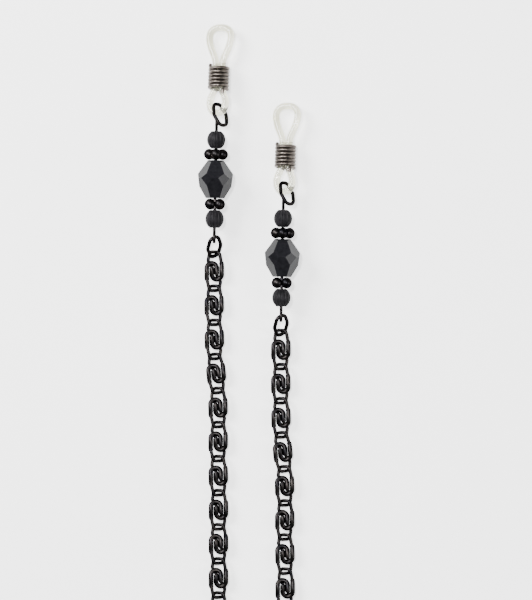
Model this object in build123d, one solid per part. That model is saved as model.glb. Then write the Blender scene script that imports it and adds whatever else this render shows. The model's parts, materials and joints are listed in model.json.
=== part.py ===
from build123d import *
import os
from math import acos, asin, cos, degrees, pi, radians, sin

# Beaded spectacle chain, laid out flat on a table with its spare chain coiled up.
# Z is up and +Y points along the two strands, towards the loops for the spectacle temples.
# Lengths are in millimetres and angles in degrees.

# ---- snail chain ----
link_pitch = 7.76
bend_wire = 0.80          # end bends and the crossing at the back
scroll_wire = 1.10        # flattened out at the front
link_apex = 4.40          # link centre to the centreline of either end bend
link_bend_half_width = 1.1
link_side = 1.70          # centreline of the two outer strands
link_scroll = 0.57        # centreline of the two curled wire ends
link_twist = 0.70         # height of each end bend's two sides above and below the middle plane
link_shoulder = 0.66      # height of the front strands where they leave the end bends
link_crown = 0.95         # height of the four front strands half way along the scroll
scroll_turn = 1.84        # centreline of the scroll's turns, from the link's centre
scroll_turn_height = 0.5
link_crossing_depth = 0.62
link_rest_height = 1.10   # middle plane of a link lying on the table

# ---- jump rings: length, half width and half flat of each end, all on the centreline ----
ring_wire = 0.85
ring_gap = 0.10
ring_side_radius = 2.0
lower_ring_length = 5.2
lower_ring_half_width = 1.75
lower_ring_half_flat = 1.0
lower_ring_end_radius = 1.2
upper_ring_length = 5.2
upper_ring_half_width = 2.0
upper_ring_half_flat = 1.12
upper_ring_end_radius = 1.3

# ---- bead pin ----
pin_wire = 0.70
eye_radius = 1.0          # centreline
eye_spacing = 25.99       # from one eye's centre to the other
bead_stack_start = 2.21   # lower eye's centre to the lowest bead
bead_gap = 0.10
bead_bore = 0.92

# ---- beads ----
melon_diameter = 4.2
lower_melon_length = 4.0
upper_melon_length = 3.9
melon_flutes = 16
spacer_length = 2.5
spacer_lobes = 4
spacer_lobe_offset = 1.5
faceted_diameter = 8.0
faceted_length = 8.6

# ---- silicone loop and its wire wrap ----
silicone_strand = 1.6
silicone_neck = 0.81      # centreline of each strand inside the wrap
silicone_length = 19.33   # between the centrelines of the two end bends
wrap_wire = 0.78
wrap_radius = 2.06        # centreline
wrap_pitch = 0.80
wrap_turns = 6.75
wrap_start = 5.22         # bottom of the loop to the first turn, on centrelines
wrap_stub = 1.1           # wire end standing out below the first turn

# ---- layout on the table ----
strand_spacing = 15.15
strand_offset = 17.84     # how much further up the left end lies
visible_left_links = 11
visible_right_links = 8
stored_links = 55
coil_radius = 21.0
coil_extra_turns = 2
coil_layer_height = 2.66
coil_climb = (268.0, 318.0)   # stretch of each turn over which the chain climbs one layer
coil_descent_start = 0.35     # part of the last arc that the chain stays on top for
first_junction_height = 1.32
link_headings = (0.4, 0.0, -0.8, -5.2, -1.0, 0.5, -1.0, 0.2, 0.0, 0.0, 0.0)

# ---- attitude of the loose pieces: pitch about X, roll about Y, turn about Z ----
lower_ring_pitch = 36.5
lower_ring_roll = 33.0
pin_turn = -1.2
pin_centre = (0, 3.74, 4.085)
upper_ring_centre = (1.34, 31.58, 4.46)
upper_ring_turn = 17.0
upper_ring_pitch = -14.0
upper_ring_roll = 49.0
silicone_foot = (0.72, 32.15, 3.95)
silicone_turn = -2.2
silicone_pitch = -7.0
silicone_roll = -22.0


def bent_wire(points, radii, diameter):
    """Round wire along straight runs joined by tangent arcs, open at both ends."""
    path = FilletPolyline(*points, radius=radii)
    section = Plane(origin=path @ 0, z_dir=path % 0) * Circle(diameter / 2)
    return sweep(section, path=path)


def attitude(origin, turn=0, pitch=0, roll=0):
    return Pos(*origin) * Rot(0, 0, turn) * Rot(pitch, 0, 0) * Rot(0, roll, 0)


# ---------------------------------------------------------------- snail link
def snail_link():
    """One wire bent to and fro: end bends, a crossing at the back and a flattened S scroll in front."""
    side = link_side
    scroll = link_scroll
    shoulder = (side, 1.5, link_shoulder)
    bend = [
        (-1.45, 2.3, -link_crossing_depth),
        (-link_bend_half_width, link_apex, -link_twist),
        (link_bend_half_width, link_apex, link_twist),
        shoulder,
        (side, 0.6, 0.81),
    ]
    bend_radii = [0.8, 0.9, 0.86, 1.7]
    other_bend = [(-x, -y, z) for x, y, z in reversed(bend)]
    back = bent_wire(other_bend + bend, bend_radii[::-1] + bend_radii, bend_wire)

    crown_radius = 2.6
    turn_radius = (side + scroll) / 2 - 0.015
    curl = bent_wire(
        [
            (1.58, 2.08, 0.668),
            shoulder,
            (side, -0.2, link_crown),
            (side, -scroll_turn, scroll_turn_height),
            (-scroll, -scroll_turn, scroll_turn_height),
            (-scroll, -0.05, link_crown),
            (-scroll, 0.74, 0.85),
        ],
        [1.7, crown_radius, turn_radius, turn_radius, crown_radius],
        scroll_wire,
    )
    return back + curl + Rot(0, 0, 180) * curl


# ---------------------------------------------------------------- jump ring
def jump_ring(length, half_width, flat, end_radius):
    """Oval ring in the XY plane, long along Y, with its cut in the middle of the left side."""
    end = length / 2
    points = [
        (-half_width, -ring_gap / 2, 0),
        (-flat, -end, 0),
        (flat, -end, 0),
        (half_width, 0, 0),
        (flat, end, 0),
        (-flat, end, 0),
        (-half_width, ring_gap / 2, 0),
    ]
    radii = [end_radius, end_radius, ring_side_radius, end_radius, end_radius]
    return bent_wire(points, radii, ring_wire)


# ---------------------------------------------------------------- bead pin
def eye_points(centre_y):
    """Kink, six corners of an octagon and the tucked-in end, in the YZ plane."""
    kink = 1.45 * eye_radius
    corner = eye_radius / cos(radians(22.5))
    points = [(0, centre_y - kink, 0)]
    for step in range(1, 7):
        angle = radians(-67.5 + 45 * step)
        points.append((0, centre_y + corner * sin(angle), corner * cos(angle)))
    points.append((0, centre_y - 1.13 * eye_radius, -0.31 * eye_radius))
    return points


def bead_pin():
    """Straight pin along Y with an eye at both ends, the lower eye centred on the origin."""
    upper = eye_points(eye_spacing)
    lower = [(x, eye_spacing - y, -z) for x, y, z in reversed(upper)]
    eye_radii = [0.7] + [0.93 * eye_radius] * 6
    return bent_wire(lower + upper, eye_radii[::-1] + eye_radii, pin_wire)


# ---------------------------------------------------------------- beads, axis along Z, centred
def bored(bead, length):
    return bead - Cylinder(bead_bore / 2, length + 1)


def melon_bead(length):
    """Barrel with a half-round flute along each meridian."""
    face_radius = 1.1
    radius = melon_diameter / 2
    rise = radius - face_radius
    meridian = ((length / 2) ** 2 + rise ** 2) / (2 * rise)
    arc = ThreePointArc((face_radius, 0, -length / 2), (radius, 0, 0), (face_radius, 0, length / 2))
    outline = Polyline((face_radius, 0, length / 2), (0, 0, length / 2), (0, 0, -length / 2),
                       (face_radius, 0, -length / 2))
    bead = revolve(make_face([arc, outline]), Axis.Z)
    groove = Pos(radius - meridian, 0, 0) * Rot(90, 0, 0) * Torus(meridian + 0.16, 0.30)
    keep = Pos(radius, 0, 0) * Box(1.9, 1.2, length + 1)
    groove = groove & keep
    for flute in range(melon_flutes):
        bead -= Rot(0, 0, flute * 360 / melon_flutes) * groove
    return bored(bead, length)


def lobed_spacer():
    """Four round lobes about a short barrel."""
    lobe = Sphere(spacer_length / 2)
    spacer = Cylinder(1.55, spacer_length * 0.84)
    for number in range(spacer_lobes):
        turned = Rot(0, 0, number * 360 / spacer_lobes)
        spacer += turned * Pos(spacer_lobe_offset, 0, 0) * lobe
    return bored(spacer, spacer_length)


def facet_plane(azimuth, radius, height, lean):
    """Plane whose outward side is cut away; lean is the normal's rise per unit outwards."""
    out = Vector(cos(radians(azimuth)), sin(radians(azimuth)), 0)
    return Plane(origin=out * radius + Vector(0, 0, height), z_dir=out + Vector(0, 0, lean))


def faceted_bead():
    """Six crown facets, six diamond facets round the girdle and six base facets."""
    top = faceted_length / 2
    bead = Cylinder(faceted_diameter / 2 + 0.5, faceted_length)
    for number in range(6):
        azimuth = number * 60
        bead = split(bead, facet_plane(azimuth, 1.56, top, 0.613), Keep.BOTTOM)
        bead = split(bead, facet_plane(azimuth, 1.82, -top, -0.506), Keep.BOTTOM)
        bead = split(bead, facet_plane(azimuth + 30, 4.0, top - 3.1, -0.123), Keep.BOTTOM)
    return bored(bead, faceted_length)


# ---------------------------------------------------------------- silicone loop and wrap
def silicone_loop():
    """Closed band in the XY plane: a small foot loop, a neck and a wider temple loop."""
    half = [
        (0, 0), (1.15, 0), (1.8, 1.3), (1.8, 3.3), (silicone_neck, 5.0),
        (silicone_neck, 12.3), (2.48, 15.2), (2.48, silicone_length), (0, silicone_length),
    ]
    radii = [1.2, 1.3, 1.8, 2.0, 3.0, 3.0, 2.4]
    right = bent_wire([(x, y, 0) for x, y in half], radii, silicone_strand)
    return right + mirror(right, Plane.YZ)


def wire_wrap():
    """Close-wound wire round the neck, both strands of the loop inside it."""
    corners_per_turn = 8
    corner_radius = wrap_radius / cos(radians(22.5))
    count = round(wrap_turns * corners_per_turn)
    points = []
    for step in range(count + 1):
        angle = radians(40 - 360 * step / corners_per_turn)
        rise = wrap_start + wrap_pitch * step / corners_per_turn
        points.append((corner_radius * cos(angle), rise, corner_radius * sin(angle)))
    x, y, z = points[0]
    points.insert(0, (x, y - wrap_stub, z))
    radii = [0.6] + [wrap_radius * 0.94] * (count - 1)
    return bent_wire(points, radii, wrap_wire)


# ---------------------------------------------------------------- one beaded end
def along_pin(distance):
    """Where a bead centred this far up the pin sits, with its axis along the pin."""
    return attitude(pin_centre, turn=pin_turn) * Pos(0, distance, 0) * Rot(-90, 0, 0)


def strap_end():
    """Every piece beyond the first junction, with that junction above the origin."""
    junction = Vector(0, 0, first_junction_height)
    reach = (lower_ring_length - overlap) / 2
    pitch = radians(lower_ring_pitch)
    ring_centre = junction + Vector(0, cos(pitch), sin(pitch)) * reach
    pieces = {}
    lower_ring = jump_ring(
        lower_ring_length, lower_ring_half_width, lower_ring_half_flat, lower_ring_end_radius
    )
    pieces["lower_ring"] = attitude(
        ring_centre, pitch=lower_ring_pitch, roll=lower_ring_roll
    ) * lower_ring
    pieces["bead_pin"] = attitude(pin_centre, turn=pin_turn) * bead_pin()
    stack = [
        ("lower_melon_bead", melon_bead(lower_melon_length), lower_melon_length, 0),
        ("lower_spacer", lobed_spacer(), spacer_length, 45),
        ("faceted_bead", faceted_bead(), faceted_length, 90),
        ("upper_spacer", lobed_spacer(), spacer_length, 0),
        ("upper_melon_bead", melon_bead(upper_melon_length), upper_melon_length, 0),
    ]
    reached = bead_stack_start
    for name, bead, length, spin in stack:
        pieces[name] = along_pin(reached + length / 2) * Rot(0, 0, spin) * bead
        reached += length + bead_gap
    upper_ring = jump_ring(
        upper_ring_length, upper_ring_half_width, upper_ring_half_flat, upper_ring_end_radius
    )
    pieces["upper_ring"] = attitude(
        upper_ring_centre, upper_ring_turn, upper_ring_pitch, upper_ring_roll
    ) * upper_ring
    loop_attitude = attitude(silicone_foot, silicone_turn, silicone_pitch, silicone_roll)
    pieces["silicone_loop"] = loop_attitude * silicone_loop()
    pieces["wire_wrap"] = loop_attitude * wire_wrap()
    return pieces


# ---------------------------------------------------------------- route of the chain
def strand_junctions(start, links):
    """Junctions of one straight strand, walking down from the first one."""
    points = [Vector(start[0], start[1], first_junction_height)]
    for heading in link_headings[:links]:
        here = points[-1]
        drop = here.Z - link_rest_height
        level = (link_pitch ** 2 - drop ** 2) ** 0.5
        step = Vector(-sin(radians(heading)), -cos(radians(heading)), 0) * level
        points.append(here + step - Vector(0, 0, drop))
    return points


def coil_route(entry, leaving):
    """Function of distance along the stored chain: down, round the coil, and back up."""
    radius = coil_radius
    exit_angle = acos((leaving.X - entry.X) / (2 * radius))
    swept = pi + exit_angle + 2 * pi * coil_extra_turns
    total = stored_links * link_pitch
    rise = 2 * radius * sin(exit_angle)
    centre_y = (entry.Y + leaving.Y - rise + radius * (swept + exit_angle) - total) / 2
    down = entry.Y - centre_y
    turning = radius * swept
    returning = radius * exit_angle
    layers = coil_layer_height * coil_extra_turns
    ramp_start = down + turning + coil_descent_start * returning
    ramp_length = total - ramp_start

    def height(distance):
        if distance < down:
            return 0
        if distance < down + turning:
            turned = degrees((distance - down) / radius)
            climb_start, climb_end = coil_climb
            climbed = (turned % 360 - climb_start) / (climb_end - climb_start)
            return coil_layer_height * (turned // 360 + min(1, max(0, climbed)))
        return layers * min(1, (total - distance) / ramp_length)

    def point(distance):
        z = link_rest_height + height(distance)
        if distance <= down:
            return Vector(entry.X, entry.Y - distance, z)
        if distance <= down + turning:
            angle = pi + (distance - down) / radius
            return Vector(entry.X + radius + radius * cos(angle), centre_y + radius * sin(angle), z)
        if distance <= down + turning + returning:
            angle = pi + exit_angle - (distance - down - turning) / radius
            middle_x = leaving.X + radius
            return Vector(middle_x + radius * cos(angle), centre_y + rise + radius * sin(angle), z)
        return Vector(leaving.X, leaving.Y - (total - distance), z)

    straight_links = int(down // link_pitch)
    return point, straight_links


def link_between(upper, lower):
    """Frame of a link: Y along the chain, X level, origin midway between its junctions."""
    along = (upper - lower).normalized()
    across = along.cross(Vector(0, 0, 1)).normalized()
    return Plane(origin=(upper + lower) * 0.5, x_dir=across, z_dir=across.cross(along))


overlap = 2 * link_apex - link_pitch
left_start = (-strand_spacing / 2, 0)
right_start = (strand_spacing / 2, -strand_offset)
left_strand = strand_junctions(left_start, visible_left_links)
right_strand = strand_junctions(right_start, visible_right_links)
stored_point, straight_links = coil_route(left_strand[-1], right_strand[-1])
stored_junctions = [stored_point(link_pitch * number) for number in range(stored_links + 1)]
left_strand += stored_junctions[1:straight_links + 1]
stored_junctions = stored_junctions[straight_links:]

ends = {"left": left_start, "right": right_start}
strands = {"left": left_strand, "right": right_strand}
link = snail_link()
end_pieces = strap_end()
parts = {}
for side in ("left", "right"):
    start_x, start_y = ends[side]
    for name, piece in end_pieces.items():
        parts[f"{side}_{name}"] = Pos(start_x, start_y, 0) * piece
    strand = strands[side]
    for number in range(1, len(strand)):
        frame = link_between(strand[number - 1], strand[number])
        parts[f"{side}_link_{number:02d}"] = frame.location * link
stored = []
for number in range(1, len(stored_junctions)):
    frame = link_between(stored_junctions[number - 1], stored_junctions[number])
    stored.append(frame.location * link)
parts["stored_chain"] = Compound(stored)

# The origin is under the middle of the whole layout, on the table.
box = Compound(list(parts.values())).bounding_box()
origin = Vector(box.center().X, box.center().Y, box.min.Z)
os.makedirs("parts", exist_ok=True)
for name, piece in parts.items():
    export_step(Pos(-origin.X, -origin.Y, -origin.Z) * piece, f"parts/{name}.step")
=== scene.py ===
import json

import bpy
from mathutils import Matrix, Vector


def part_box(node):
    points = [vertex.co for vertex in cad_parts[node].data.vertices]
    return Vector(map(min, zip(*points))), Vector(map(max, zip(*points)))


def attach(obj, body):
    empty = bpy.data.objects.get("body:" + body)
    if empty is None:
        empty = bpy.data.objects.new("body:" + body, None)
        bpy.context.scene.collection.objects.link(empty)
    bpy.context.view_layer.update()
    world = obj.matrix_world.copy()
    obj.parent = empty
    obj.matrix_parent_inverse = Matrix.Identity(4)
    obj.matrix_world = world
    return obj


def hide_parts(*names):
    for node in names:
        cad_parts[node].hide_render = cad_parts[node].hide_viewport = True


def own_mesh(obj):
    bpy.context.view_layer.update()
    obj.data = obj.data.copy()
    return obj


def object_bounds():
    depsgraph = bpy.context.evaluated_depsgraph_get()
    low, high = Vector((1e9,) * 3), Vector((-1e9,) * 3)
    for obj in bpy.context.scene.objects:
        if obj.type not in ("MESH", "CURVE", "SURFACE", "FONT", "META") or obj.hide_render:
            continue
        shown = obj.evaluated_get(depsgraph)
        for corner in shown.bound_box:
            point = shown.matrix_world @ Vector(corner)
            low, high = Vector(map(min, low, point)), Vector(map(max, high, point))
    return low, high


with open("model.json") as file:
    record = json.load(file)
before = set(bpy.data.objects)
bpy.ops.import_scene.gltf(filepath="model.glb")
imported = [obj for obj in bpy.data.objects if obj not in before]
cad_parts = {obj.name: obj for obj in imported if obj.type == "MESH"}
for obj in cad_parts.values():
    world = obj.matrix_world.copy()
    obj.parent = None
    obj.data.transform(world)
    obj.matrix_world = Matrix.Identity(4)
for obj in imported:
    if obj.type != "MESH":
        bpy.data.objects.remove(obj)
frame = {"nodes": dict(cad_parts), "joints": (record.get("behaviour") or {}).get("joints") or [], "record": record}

# A beaded spectacle chain lying on a pale table, seen from straight above.

cad_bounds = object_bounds()
MM = 0.001
SIDES = ("left", "right")

# ---- what the camera takes in, from the loops' tips down ----
VIEW_HEIGHT = 136.7 * MM
VIEW_DISTANCE = 900 * MM
TIP_BELOW_TOP = 5.8 * MM
SHIFT_RIGHT = 4.2 * MM

# ---- silicone loop, in its own frame: foot at the origin, Y towards the temple loop ----
STRAND = 1.6 * MM
NECK = 0.81 * MM          # middle of each strand inside the wrap
LOOP_CENTRE = 16.3 * MM   # where the record's mount stands
WRAP_TOP = 11.4 * MM
SPLIT = 9.0 * MM          # lower ends of the arch, hidden in the wrap
TAIL_TOP = 11.2 * MM      # upper ends of the foot, hidden in the wrap

# ---- table and studio light ----
TABLE_SIZE = 6.0
TABLE_GAP = 0.05 * MM     # keeps the strap from touching the table's surface
TABLE_GLOW = 1.5
ROOM_LIGHT = 0.12
SOFTBOXES = (             # name, place from the target, size, power
    ("key", (-0.45, 0.30, 0.45), (0.30, 0.30), 10),
    ("fill", (0.55, -0.10, 0.45), (0.20, 0.40), 3),
    ("front", (-0.10, 0.12, 0.80), (0.08, 0.08), 8),
)
SENSOR_WIDTH = 36
NEAR_CLIP = 0.01


# ------------------------------------------------------------------ materials
def new_material(name):
    """New node material, with what is needed to wire its shader."""
    material = bpy.data.materials.new(name)
    material.use_nodes = True
    shader = material.node_tree.nodes["Principled BSDF"]
    return material, material.node_tree.nodes, material.node_tree.links, shader


def noise(nodes, links, scale, detail=3.0, roughness=0.55):
    place = nodes.new("ShaderNodeTexCoord")
    texture = nodes.new("ShaderNodeTexNoise")
    texture.inputs["Scale"].default_value = scale
    texture.inputs["Detail"].default_value = detail
    texture.inputs["Roughness"].default_value = roughness
    links.new(place.outputs["Object"], texture.inputs["Vector"])
    return texture.outputs["Fac"]


def ramp(nodes, links, source, low, high, start=0.3, end=0.7):
    """Colour that runs from low to high as the source goes from start to end."""
    node = nodes.new("ShaderNodeValToRGB")
    first, last = node.color_ramp.elements
    first.position = start
    first.color = (*low, 1)
    last.position = end
    last.color = (*high, 1)
    links.new(source, node.inputs["Fac"])
    return node.outputs["Color"]


def spread(nodes, links, source, low, high):
    """Value that runs from low to high as the source goes from 0 to 1."""
    node = nodes.new("ShaderNodeMapRange")
    node.inputs["To Min"].default_value = low
    node.inputs["To Max"].default_value = high
    links.new(source, node.inputs["Value"])
    return node.outputs["Result"]


def bump(nodes, links, source, strength, depth):
    node = nodes.new("ShaderNodeBump")
    node.inputs["Strength"].default_value = strength
    node.inputs["Distance"].default_value = depth
    links.new(source, node.inputs["Height"])
    return node.outputs["Normal"]


def black_plating():
    """Satin black plating: faint warm and cool patches, slightly grainy."""
    material, nodes, links, shader = new_material("black_plating")
    patches = noise(nodes, links, 420)
    grain = noise(nodes, links, 5200, detail=4)
    colour = ramp(nodes, links, patches, (0.008, 0.008, 0.010), (0.026, 0.023, 0.022))
    links.new(colour, shader.inputs["Base Color"])
    links.new(spread(nodes, links, grain, 0.26, 0.46), shader.inputs["Roughness"])
    links.new(bump(nodes, links, grain, 0.35, 0.00003), shader.inputs["Normal"])
    shader.inputs["Metallic"].default_value = 1.0
    shader.inputs["Specular Tint"].default_value = (0, 0, 0, 1)
    return material


def melon_glass():
    """Matt black glass with a fine pitted skin."""
    material, nodes, links, shader = new_material("melon_glass")
    pits = noise(nodes, links, 3600, detail=5, roughness=0.7)
    haze = noise(nodes, links, 700)
    colour = ramp(nodes, links, haze, (0.006, 0.006, 0.007), (0.016, 0.015, 0.017))
    links.new(colour, shader.inputs["Base Color"])
    links.new(spread(nodes, links, pits, 0.28, 0.5), shader.inputs["Roughness"])
    links.new(bump(nodes, links, pits, 0.5, 0.00004), shader.inputs["Normal"])
    shader.inputs["Specular IOR Level"].default_value = 0.06
    return material


def cut_glass():
    """Polished black glass, a little worn along some facets."""
    material, nodes, links, shader = new_material("cut_glass")
    wear = noise(nodes, links, 900, detail=5, roughness=0.65)
    colour = ramp(nodes, links, wear, (0.005, 0.005, 0.006), (0.011, 0.011, 0.013))
    links.new(colour, shader.inputs["Base Color"])
    links.new(spread(nodes, links, wear, 0.03, 0.14), shader.inputs["Roughness"])
    links.new(bump(nodes, links, wear, 0.12, 0.00002), shader.inputs["Normal"])
    shader.inputs["Specular IOR Level"].default_value = 0.09
    return material


def gunmetal():
    """Drawn wire with antique plating, darker in its pits."""
    material, nodes, links, shader = new_material("gunmetal")
    tarnish = noise(nodes, links, 1300, detail=4)
    drawn = noise(nodes, links, 9000, detail=2)
    colour = ramp(nodes, links, tarnish, (0.05, 0.042, 0.037), (0.17, 0.148, 0.13))
    links.new(colour, shader.inputs["Base Color"])
    links.new(spread(nodes, links, drawn, 0.28, 0.48), shader.inputs["Roughness"])
    links.new(bump(nodes, links, drawn, 0.25, 0.00002), shader.inputs["Normal"])
    shader.inputs["Metallic"].default_value = 1.0
    return material


def milky_silicone():
    """Milky silicone, slightly warm, with a faint waviness from the mould."""
    material, nodes, links, shader = new_material("milky_silicone")
    cloud = noise(nodes, links, 260)
    skin = noise(nodes, links, 1500, detail=2)
    colour = ramp(nodes, links, cloud, (0.76, 0.75, 0.61), (0.88, 0.87, 0.75))
    links.new(colour, shader.inputs["Base Color"])
    links.new(spread(nodes, links, skin, 0.04, 0.12), shader.inputs["Roughness"])
    links.new(bump(nodes, links, skin, 0.2, 0.00003), shader.inputs["Normal"])
    shader.inputs["Transmission Weight"].default_value = 0.78
    shader.inputs["IOR"].default_value = 1.45
    return material


def paint(node_object, material):
    node_object.data.materials.clear()
    node_object.data.materials.append(material)


# ------------------------------------------------------------------ silicone
def tube(name, points, closed=False):
    """Round strand along a smooth curve through the points."""
    curve = bpy.data.curves.new(name, "CURVE")
    curve.dimensions = "3D"
    spline = curve.splines.new("NURBS")
    spline.points.add(len(points) - 1)
    for target, point in zip(spline.points, points):
        target.co = (*point, 1)
    spline.order_u = 4
    spline.use_endpoint_u = not closed
    spline.use_cyclic_u = closed
    curve.resolution_u = 12
    curve.bevel_depth = STRAND / 2
    curve.bevel_resolution = 7
    curve.use_fill_caps = not closed
    source = bpy.data.objects.new(name, curve)
    bpy.context.collection.objects.link(source)
    bpy.context.view_layer.update()
    graph = bpy.context.evaluated_depsgraph_get()
    mesh = bpy.data.meshes.new_from_object(source.evaluated_get(graph))
    bpy.data.objects.remove(source)
    piece = bpy.data.objects.new(name, mesh)
    bpy.context.collection.objects.link(piece)
    for polygon in mesh.polygons:
        polygon.use_smooth = True
    return piece


def mirrored(points):
    return points + [(-x, y, z) for x, y, z in reversed(points)]


def silicone(side, material):
    """The arch above the wrap, and the neck and foot below it."""
    slide = next(j for j in frame["joints"] if j["name"] == f"{side}_wire_wrap_slide")
    mount = next(m for m in frame["record"]["mounts"] if m["name"] == f"{side}_temple_loop")
    along = Vector(slide["axis"]).normalized()
    normal = Vector(mount["axis"]).normalized()
    across = along.cross(normal)
    origin = Vector(mount["pos_m"]) - along * LOOP_CENTRE
    turned = Matrix((across, along, normal)).transposed().to_4x4()
    place = Matrix.Translation(origin) @ turned
    arch = [
        (NECK, SPLIT, 0), (NECK, SPLIT + 1.5 * MM, 0), (NECK, WRAP_TOP, 0),
        (1.05 * MM, 12.6 * MM, 0), (1.9 * MM, 14.2 * MM, 0), (2.6 * MM, 16.2 * MM, 0),
        (2.75 * MM, 18.1 * MM, 0), (1.6 * MM, 19.6 * MM, 0),
    ]
    foot = [
        (NECK, TAIL_TOP, 0), (NECK, 8.5 * MM, 0), (NECK, 6.0 * MM, 0), (0.9 * MM, 4.9 * MM, 0),
        (1.7 * MM, 3.6 * MM, 0), (2.1 * MM, 1.9 * MM, 0), (1.3 * MM, -0.25 * MM, 0),
    ]
    pieces = []
    for name, half in (("arch", arch), ("foot", foot)):
        points = [place @ Vector(point) for point in mirrored(half)]
        piece = tube(f"{side}_silicone_{name}", points)
        paint(piece, material)
        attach(piece, f"{side}_silicone_loop")
        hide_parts(f"{side}_silicone_loop")
        pieces.append(piece)
    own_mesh(pieces[0])


# ------------------------------------------------------------------ the strap
plating = black_plating()
melon = melon_glass()
cut = cut_glass()
wrap = gunmetal()
soft = milky_silicone()
for name, node in frame["nodes"].items():
    if "melon" in name:
        paint(node, melon)
    elif "faceted" in name:
        paint(node, cut)
    elif "wrap" in name:
        paint(node, wrap)
    elif "silicone" not in name:
        paint(node, plating)
for side in SIDES:
    silicone(side, soft)


# ------------------------------------------------------------------ table, light, camera
def box_middle(node):
    low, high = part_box(node)
    return (Vector(low) + Vector(high)) / 2


def table():
    """Pale table top that glows faintly, like a lit photographer's table."""
    material, nodes, links, shader = new_material("table")
    fibre = noise(nodes, links, 60, detail=3)
    colour = ramp(nodes, links, fibre, (0.93, 0.93, 0.93), (0.96, 0.96, 0.96))
    links.new(colour, shader.inputs["Base Color"])
    shader.inputs["Roughness"].default_value = 0.9
    shader.inputs["Emission Color"].default_value = (1, 1, 1, 1)
    shader.inputs["Emission Strength"].default_value = TABLE_GLOW
    level = cad_bounds[0][2] - TABLE_GAP
    bpy.ops.mesh.primitive_plane_add(size=TABLE_SIZE, location=(0, 0, level))
    top = bpy.context.object
    top.name = "table"
    paint(top, material)


def softbox(name, position, target, size, power):
    """Rectangular light that faces the target."""
    light = bpy.data.lights.new(name, "AREA")
    light.shape = "RECTANGLE"
    light.size, light.size_y = size
    light.energy = power
    lamp = bpy.data.objects.new(name, light)
    lamp.location = position
    lamp.rotation_euler = (Vector(target) - Vector(position)).to_track_quat("-Z", "Y").to_euler()
    bpy.context.collection.objects.link(lamp)


left_x = box_middle("left_link_01").x
right_x = box_middle("right_link_01").x
tip_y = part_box("left_silicone_loop")[1][1]
target = Vector(((left_x + right_x) / 2 + SHIFT_RIGHT, tip_y + TIP_BELOW_TOP - VIEW_HEIGHT / 2, 0))

table()
for name, place, size, power in SOFTBOXES:
    softbox(name, target + Vector(place), target, size, power)

world = bpy.data.worlds.new("studio")
world.use_nodes = True
world.node_tree.nodes["Background"].inputs["Color"].default_value = (1, 1, 1, 1)
world.node_tree.nodes["Background"].inputs["Strength"].default_value = ROOM_LIGHT
bpy.context.scene.world = world

lens = bpy.data.cameras.new("camera")
lens.sensor_width = SENSOR_WIDTH
lens.lens = lens.sensor_width * VIEW_DISTANCE / VIEW_HEIGHT
lens.clip_start = NEAR_CLIP
camera = bpy.data.objects.new("camera", lens)
camera.location = target + Vector((0, 0, VIEW_DISTANCE))
bpy.context.collection.objects.link(camera)
bpy.context.scene.camera = camera
